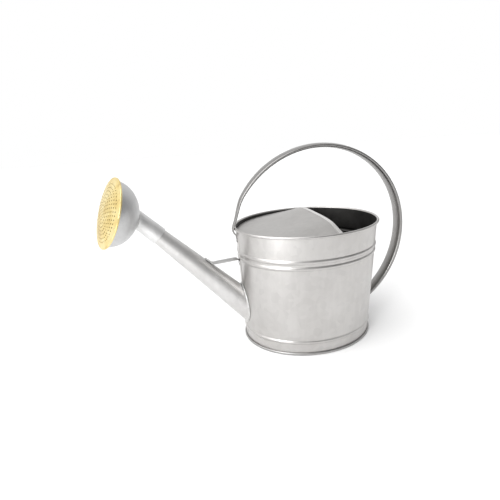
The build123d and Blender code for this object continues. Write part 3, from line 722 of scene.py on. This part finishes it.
def build_socket():
    n, steps = 96, 30
    outer, inner = [], []
    for i in range(steps + 1):
        for j in range(n):
            t = 2 * math.pi * j / n
            c, s = math.cos(t), math.sin(t)
            end = bowl_hit(c, s, 15.0)
            f = i / steps
            h = SOCKET_S0 + 0.4 + (end - SOCKET_S0 - 0.4) * f
            flare = 0.9 * math.exp(-((end - h) / 3.0) ** 2)
            outer.append(on_spout(socket_r(h) + flare, h, c, s))
            inner.append(on_spout(socket_r(h) - SOCKET_T, h, c, s))
    verts = outer + inner
    m = len(outer)
    lip_o, lip_m, lip_i = len(verts), len(verts) + n, len(verts) + 2 * n
    for rr, hh in ((0.25, 0.08), (SOCKET_T * 0.5, 0.0), (SOCKET_T - 0.2, 0.1)):
        for j in range(n):
            t = 2 * math.pi * j / n
            verts.append(on_spout(socket_r(SOCKET_S0) - rr, SOCKET_S0 + hh, math.cos(t), math.sin(t)))
    f = tube_faces(steps + 1, n)
    f += [tuple(m + i for i in reversed(q)) for q in tube_faces(steps + 1, n)]
    for j in range(n):
        k = (j + 1) % n
        f.append((j, k, lip_o + k, lip_o + j))
        f.append((lip_o + j, lip_o + k, lip_m + k, lip_m + j))
        f.append((lip_m + j, lip_m + k, lip_i + k, lip_i + j))
        f.append((lip_i + j, lip_i + k, m + k, m + j))
        a = steps * n
        f.append((a + k, a + j, m + a + j, m + a + k))
    make("rose_socket_tube", verts, f, M_SOCKET, "rose", ("rose_socket",), sharp=50)
    prof = [(0.0, 0.0), (0.5, -0.15), (0.8, 0.1), (1.0, 0.35), (0.7, 0.75), (0.3, 1.0), (0.0, 1.1)]
    verts = []
    rnd = [random.uniform(0.7, 1.15) for _ in range(18)]
    for j in range(96):
        t = 2 * math.pi * j / 96
        c, s = math.cos(t), math.sin(t)
        q = j / 96 * 18
        a0, b0 = rnd[int(q) % 18], rnd[(int(q) + 1) % 18]
        size = (a0 + (b0 - a0) * smooth(q - int(q)))
        for u, w in prof:
            r = 14.9 + u * 2.2 * size
            verts.append(on_spout(r, bowl_hit(c, s, r) - w * 2.4 * size - 0.05, c, s))
    k = len(prof)
    faces = []
    for j in range(96):
        a, b = j * k, ((j + 1) % 96) * k
        for i in range(k):
            i2 = (i + 1) % k
            faces.append((a + i, a + i2, b + i2, b + i))
    make("rose_root_solder", verts, faces, M_SOLDER, "rose", ("rose_solder",), sharp=60)


build_socket()

# perforated brass face
DOME_R = 56.5
BALL = (DOME_R ** 2 + (FACE_DOME - SHEET) ** 2) / (2 * (FACE_DOME - SHEET))
BALL_C = FACE_DOME - BALL


def face_h(r):
    return BALL_C + math.sqrt(BALL ** 2 - r * r)


def build_face():
    pitch, hole_r, rings, seg = 6.0, 1.2, 8, 12
    centres = [(0.0, 0.0)]
    for k in range(1, rings + 1):
        for j in range(6 * k):
            a = 2 * math.pi * j / (6 * k) + 0.5 * k
            centres.append((pitch * k * math.cos(a), pitch * k * math.sin(a)))
    pts, loops = [], []
    rim_n = 160
    start = 0
    rim = [(DOME_R * math.cos(2 * math.pi * i / rim_n), DOME_R * math.sin(2 * math.pi * i / rim_n)) for i in range(rim_n)]
    pts += rim
    edges = [(i, (i + 1) % rim_n) for i in range(rim_n)]
    for cx, cy in centres:
        b = len(pts)
        for i in range(seg):
            a = 2 * math.pi * i / seg
            pts.append((cx + hole_r * math.cos(a), cy + hole_r * math.sin(a)))
        edges += [(b + i, b + (i + 1) % seg) for i in range(seg)]
    # filling points between the holes
    for k in range(0, 37):
        r = 1.5 * k + 1.5
        if r > DOME_R - 1.0:
            break
        nn = max(6, int(2 * math.pi * r / 1.8))
        for j in range(nn):
            a = 2 * math.pi * j / nn + k * 0.37
            x, y = r * math.cos(a), r * math.sin(a)
            if all((x - cx) ** 2 + (y - cy) ** 2 > (hole_r + 0.55) ** 2 for cx, cy in centres):
                pts.append((x, y))
    vv, ee, ff, _, _, _ = geometry.delaunay_2d_cdt([Vector(q) for q in pts], edges, [], 1, 1e-5)
    keep = []
    for t in ff:
        cx = sum(vv[i].x for i in t) / len(t)
        cy = sum(vv[i].y for i in t) / len(t)
        if any((cx - x) ** 2 + (cy - y) ** 2 < (hole_r * 0.98) ** 2 for x, y in centres):
            continue
        keep.append(tuple(t))
    m = len(vv)
    flat = [(q.x, q.y) for q in vv]
    verts = [RC + RN * face_h(math.hypot(x, y)) + RX * x + RY * y for x, y in flat]
    verts += [RC + RN * (face_h(math.hypot(x, y)) - SHEET) + RX * x + RY * y for x, y in flat]
    faces = list(keep) + [tuple(m + i for i in reversed(t)) for t in keep]
    count = {}
    for t in keep:
        for i in range(len(t)):
            e = (t[i], t[(i + 1) % len(t)])
            count[tuple(sorted(e))] = count.get(tuple(sorted(e)), []) + [e]
    outer_edges = []
    for e, uses in count.items():
        if len(uses) == 1:
            a, b = uses[0]
            if math.hypot(*flat[a]) > DOME_R - 0.2 and math.hypot(*flat[b]) > DOME_R - 0.2:
                outer_edges.append((a, b))
            else:
                faces.append((b, a, m + a, m + b))
    # edge turned over the bowl's flange, joined to the dome's rim
    order = sorted(set(i for e in outer_edges for i in e), key=lambda i: math.atan2(flat[i][1], flat[i][0]))
    section = [(57.4, 0.95), (58.3, 1.0), (58.95, 0.75), (59.3, 0.2), (59.4, -0.6), (59.25, -1.4), (58.7, -1.95), (57.9, -2.0), (57.2, -1.9), (57.2, -1.25), (58.0, -1.2), (58.5, -0.9),
               (58.5, -0.1), (57.3, 0.0)]
    base = len(verts)
    L = len(order)
    for r, h in section:
        for i in order:
            x, y = flat[i]
            q = math.hypot(x, y)
            wob = 0.12 * math.sin(11 * math.atan2(y, x)) + 0.08 * math.sin(29 * math.atan2(y, x))
            verts.append(RC + RN * h + RX * (x / q * (r + wob * (r > 59))) + RY * (y / q * (r + wob * (r > 59))))
    K = len(section)
    for j in range(L):
        k = (j + 1) % L
        faces.append((order[j], order[k], base + k, base + j))
        for i in range(K - 1):
            faces.append((base + i * L + j, base + i * L + k, base + (i + 1) * L + k, base + (i + 1) * L + j))
        faces.append((base + (K - 1) * L + j, base + (K - 1) * L + k, m + order[k], m + order[j]))
    make("rose_brass_face", verts, faces, M_BRASS, "rose", ("rose_face",), sharp=42)


build_face()

# ------------------------------------------------------------ handle
HANDLE_SECTIONS = ((167.2, 9.0, 3.4), (162, 11.0, 4.8), (150, 16.0, 6.4), (138, 21.5, 7.4), (124, 25.0, 8.2),
                   (108, 26.0, 8.4), (90, 26.0, 8.4), (70, 26.0, 8.6), (50, 26.0, 9.2), (30, 26.0, 10.0),
                   (10, 26.0, 10.8), (-10, 26.0, 11.2), (-30, 25.5, 11.0), (-46, 24.5, 10.0), (-60, 24.0, 9.0))


def handle_r(t):
    """The arc's radius, drawn in a little towards the front end."""
    f = max(0.0, min(1.0, (t - 147) / 14))
    return HANDLE_R - 3.9 * f * f * (3 - 2 * f) + 1.3 * max(0.0, (t - 162) / 5.2)


def handle_size(t):
    for (t1, w1, k1), (t2, w2, k2) in zip(HANDLE_SECTIONS, HANDLE_SECTIONS[1:]):
        if t2 <= t <= t1:
            f = (t1 - t) / (t1 - t2)
            return w1 + (w2 - w1) * f, k1 + (k2 - k1) * f
    return HANDLE_SECTIONS[-1][1:]


def handle_smooth(t):
    acc = [0.0, 0.0]
    for d in (-6, -3, 0, 3, 6):
        w, k = handle_size(max(-60, min(167.2, t + d)))
        acc[0] += w / 5
        acc[1] += k / 5
    return acc


def x_wall_back(y, z):
    return -x_wall(y, z)


def build_handle():
    n, steps = 88, 190
    t_end = -57.0
    verts = []
    for i in range(steps + 1):
        t = 167.2 + (t_end - 167.2) * i / steps
        a = math.radians(t)
        radial = Vector((math.cos(a), 0, math.sin(a)))
        p = Vector((HANDLE_X, 0, HANDLE_Z)) + radial * handle_r(t)
        w, k = handle_smooth(t)
        for j in range(n):
            u = 2 * math.pi * j / n
            c, s = math.cos(u), math.sin(u)
            c = math.copysign(abs(c) ** 0.8, c)
            q = p + radial * (k / 2 * c) + Vector((0, 1, 0)) * (w / 2 * s)
            # the rear end stops on the can's wall
            if i > steps * 0.85 and q.z < 120:
                xw = x_wall_back(q.y, q.z) - 0.3
                if q.x < xw:
                    q.x = xw
            verts.append(q)
    faces = tube_faces(steps + 1, n)
    faces.append(tuple(reversed(range(n))))
    faces.append(tuple(steps * n + j for j in range(n)))
    make("handle_arch", verts, faces, M_HANDLE_PAINTED_SHADE, "can", ("handle_tube",), sharp=50)


build_handle()


def build_front_tab():
    ctrl = [(-140.95, 226.6, 8.6, 3.3), (-141.05, 224.0, 8.7, 3.2), (-141.0, 221.6, 8.9, 3.1), (-140.3, 219.2, 9.2, 2.9), (-138.9, 217.0, 9.6, 2.6), (-137.0, 215.0, 10.0, 2.4),
            (-135.9, 212.6, 10.6, 2.1), (-135.45, 209.0, 10.9, 1.8), (-135.3, 205.0, 10.9, 1.7), (-135.15, 201.6, 9.6, 1.5), (-135.05, 199.7, 6.2, 1.1)]
    n = 32
    verts = []
    pts = [Vector((x, 0, z)) for x, z, _, _ in ctrl]
    for i, (x, z, w, k) in enumerate(ctrl):
        a = pts[max(0, i - 1)]
        b = pts[min(len(pts) - 1, i + 1)]
        tan = (b - a).normalized()
        nor = Vector((0, 1, 0)).cross(tan).normalized()
        for j in range(n):
            u = 2 * math.pi * j / n
            c, s = math.cos(u), math.sin(u)
            c = math.copysign(abs(c) ** 0.6, c)
            s = math.copysign(abs(s) ** 0.6, s)
            q = pts[i] + nor * (k / 2 * c) + Vector((0, 1, 0)) * (w / 2 * s)
            xw = x_wall(q.y, q.z)
            if q.x > xw - 0.05:
                q.x = xw - 0.05
            verts.append(q)
    faces = tube_faces(len(ctrl), n)
    faces.append(tuple(reversed(range(n))))
    faces.append(tuple((len(ctrl) - 1) * n + j for j in range(n)))
    make("handle_front_end", verts, faces, M_HANDLE_PAINTED_SHADE, "can", ("handle_front_tab",), sharp=45)


build_front_tab()

FOOT_Z = 50.0


def build_foot():
    rings, n = 8, 64
    verts, faces = [], []
    for side in (0, 1):
        off = 1.3 if side == 0 else -0.0
        base = len(verts)
        for i in range(1, rings + 1):
            f = i / rings
            for j in range(n):
                u = 2 * math.pi * j / n
                y, z = 24 * f * math.cos(u), FOOT_Z + 17 * f * math.sin(u)
                o = off if i < rings else off * 0.75
                verts.append(Vector((x_wall_back(y, z) + o + 0.02, y, z)))
        verts.append(Vector((x_wall_back(0, FOOT_Z) + off + 0.02, 0, FOOT_Z)))
        c = len(verts) - 1
        for i in range(rings - 1):
            for j in range(n):
                k = (j + 1) % n
                faces.append((base + i * n + j, base + i * n + k, base + (i + 1) * n + k, base + (i + 1) * n + j))
        for j in range(n):
            faces.append((c, base + j, base + (j + 1) % n))
    half = rings * n + 1
    for j in range(n):
        k = (j + 1) % n
        a = (rings - 1) * n
        faces.append((a + j, a + k, half + a + k, half + a + j))
    make("handle_foot_plate", verts, faces, M_HANDLE_PAINTED_SHADE, "can", ("handle_foot",), sharp=40)


build_foot()

# ------------------------------------------------------------ rivets
SP_S = 107.5
dome("brace_spout_fastening", S0 + SD * SP_S + SU * (spout_r(SP_S) + 1.45), SU, 3.1, 1.6, M_SOCKET, ("brace_spout_rivet",), tail=2.6)
dome("brace_wall_fastening", (x_wall(0, 160.0) - 1.45, 0, 160.0), (-1, 0, 0), 3.1, 1.6, M_SOCKET, ("brace_body_rivet",), tail=2.4)
dome("handle_tab_fastening", (x_wall(0, 205.5) - 2.1, 0, 205.0), (-1, 0, 0), 2.6, 1.0, M_SOCKET, ("handle_tab_rivet",), tail=3.2)
for i, y in enumerate((16.5, -16.5)):
    a = wall_a(FOOT_Z)
    x = x_wall_back(y, FOOT_Z)
    nrm = Vector((x / a ** 2, y / (a * OVAL) ** 2, 0)).normalized()
    dome("handle_foot_fastening_%d" % (i + 1), Vector((x, y, FOOT_Z)) + nrm * 1.4, nrm, 3.1, 1.6, M_SOCKET, ("handle_foot_rivet_%d" % (i + 1),), tail=2.5)

# carried-over CAD nodes
for name, mat in (("rim_wire", M_WIRE), ("socket_seal", M_RUBBER)):
    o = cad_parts[name]
    if o.material_slots:
        for s in o.material_slots:
            s.material = mat
    else:
        o.data.materials.append(mat)

# ------------------------------------------------------------ floor, light, camera
floor_me = bpy.data.meshes.new("floor")
S = 6.0
floor_me.from_pydata([(-S, -S, -0.0002), (S, -S, -0.0002), (S, S, -0.0002), (-S, S, -0.0002)], [], [(0, 1, 2, 3)])
floor = bpy.data.objects.new("floor", floor_me)
bpy.context.scene.collection.objects.link(floor)
fm = bpy.data.materials.new("floor_paper")
nt, sh, tc = nodes_of(fm)
nt.links.new(ramp(nt, noise(nt, mapping(nt, tc), 3.0, 2.0), [(0.3, (0.90, 0.90, 0.90)), (0.7, (0.92, 0.92, 0.92))]), sh.inputs["Base Color"])
sh.inputs["Roughness"].default_value = 0.9
sh.inputs["Specular IOR Level"].default_value = 0.0
floor_me.materials.append(fm)

world = bpy.data.worlds.new("studio")
bpy.context.scene.world = world
world.use_nodes = True
wt = world.node_tree
wtc = wt.nodes.new("ShaderNodeTexCoord")
wdot = wt.nodes.new("ShaderNodeVectorMath")
wdot.operation = "DOT_PRODUCT"
wdot.inputs[1].default_value = (-0.25, 0.41, 0.14)
wt.links.new(wtc.outputs["Generated"], wdot.inputs[0])
wadd = wt.nodes.new("ShaderNodeMath")
wadd.operation = "ADD"
wadd.inputs[1].default_value = 0.5
wt.links.new(wdot.outputs["Value"], wadd.inputs[0])
wt.links.new(ramp(wt, wadd.outputs[0], [(0.05, (0.26, 0.26, 0.26)), (0.33, (0.36, 0.36, 0.36)), (0.47, (0.68, 0.68, 0.68)), (0.58, (1.0, 1.0, 1.0))]),
             wt.nodes["Background"].inputs["Color"])
wt.nodes["Background"].inputs["Strength"].default_value = 1.0
bpy.context.scene.view_settings.view_transform = "Standard"

sun_data = bpy.data.lights.new("soft_sun", "SUN")
sun_data.energy = 1.9
sun_data.angle = 1.3
sun = bpy.data.objects.new("soft_sun", sun_data)
bpy.context.scene.collection.objects.link(sun)
sun.rotation_euler = Vector((0.55, 0.30, -0.80)).to_track_quat("-Z", "Y").to_euler()


def area(name, loc, target, size, power, color=(1, 1, 1)):
    l = bpy.data.lights.new(name, "AREA")
    l.shape = "RECTANGLE"
    l.size, l.size_y = size
    l.energy = power
    l.color = color
    o = bpy.data.objects.new(name, l)
    bpy.context.scene.collection.objects.link(o)
    o.location = loc
    o.rotation_euler = (Vector(target) - Vector(loc)).to_track_quat("-Z", "Y").to_euler()
    return o


area("key_left", (-1.15, -1.1, 0.5), (0, 0, 0.12), (0.3, 1.0), 11)

cam_data = bpy.data.cameras.new("camera")
cam = bpy.data.objects.new("camera", cam_data)
bpy.context.scene.collection.objects.link(cam)
cam_data.sensor_fit = "HORIZONTAL"
cam_data.sensor_width = 36.0
cam_data.lens = 26.145
right = Vector((0.97083, -0.23284, -0.05731))
up = Vector((0.12681, 0.29569, 0.94683))
fwd = Vector((0.20351, 0.92647, -0.31659))
cam.matrix_world = Matrix(((right.x, up.x, -fwd.x, -0.24994), (right.y, up.y, -fwd.y, -0.63083), (right.z, up.z, -fwd.z, 0.39676), (0, 0, 0, 1)))
cam_data.clip_start = 0.01
cam_data.clip_end = 50
bpy.context.scene.camera = cam
